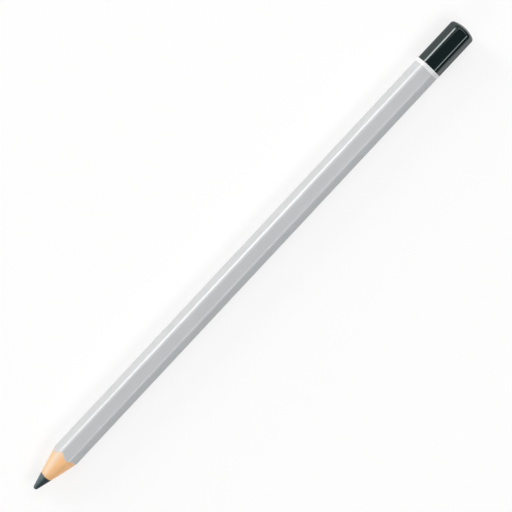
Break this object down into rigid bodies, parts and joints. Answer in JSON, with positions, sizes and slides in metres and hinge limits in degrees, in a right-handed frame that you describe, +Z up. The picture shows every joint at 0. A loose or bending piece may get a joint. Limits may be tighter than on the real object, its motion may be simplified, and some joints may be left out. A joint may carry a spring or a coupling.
{
  "type": "wood-cased china marker",
  "caption": "Hexagonal wood-cased china marker: a thick dark lead sharpened to a blunt cone, silver lacquered barrel, thin white ring and black dipped, domed end.",
  "frame": {"origin": "on the surface that the pencil lies on, under the middle of its length and width", "axes": "+X runs along the pencil from its point to its capped end, +Z points up from the flat that it lies on, and +Y runs across it, from corner to corner of the hexagon"},
  "size_m": [0.175, 0.008, 0.0075],
  "materials": {
    "lead": "dark waxy lead, satin where the sharpener cut it",
    "glue": "dried wood glue, pale amber",
    "wood": "bare pale softwood, cut smooth by the sharpener",
    "silver_lacquer": "silver lacquer with fine metal flake, semi-gloss",
    "white_lacquer": "white dipping lacquer, gloss",
    "black_lacquer": "black dipping lacquer, gloss"
  },
  "bodies": {
    "root": {"lead": "lead", "lead_bond": "glue", "upper_slat": "wood", "lower_slat": "wood", "right_seam_glue": "glue", "left_seam_glue": "glue", "silver_lacquer": "silver_lacquer", "white_dip": "white_lacquer", "black_dip": "black_lacquer"}
  },
  "joints": []
}
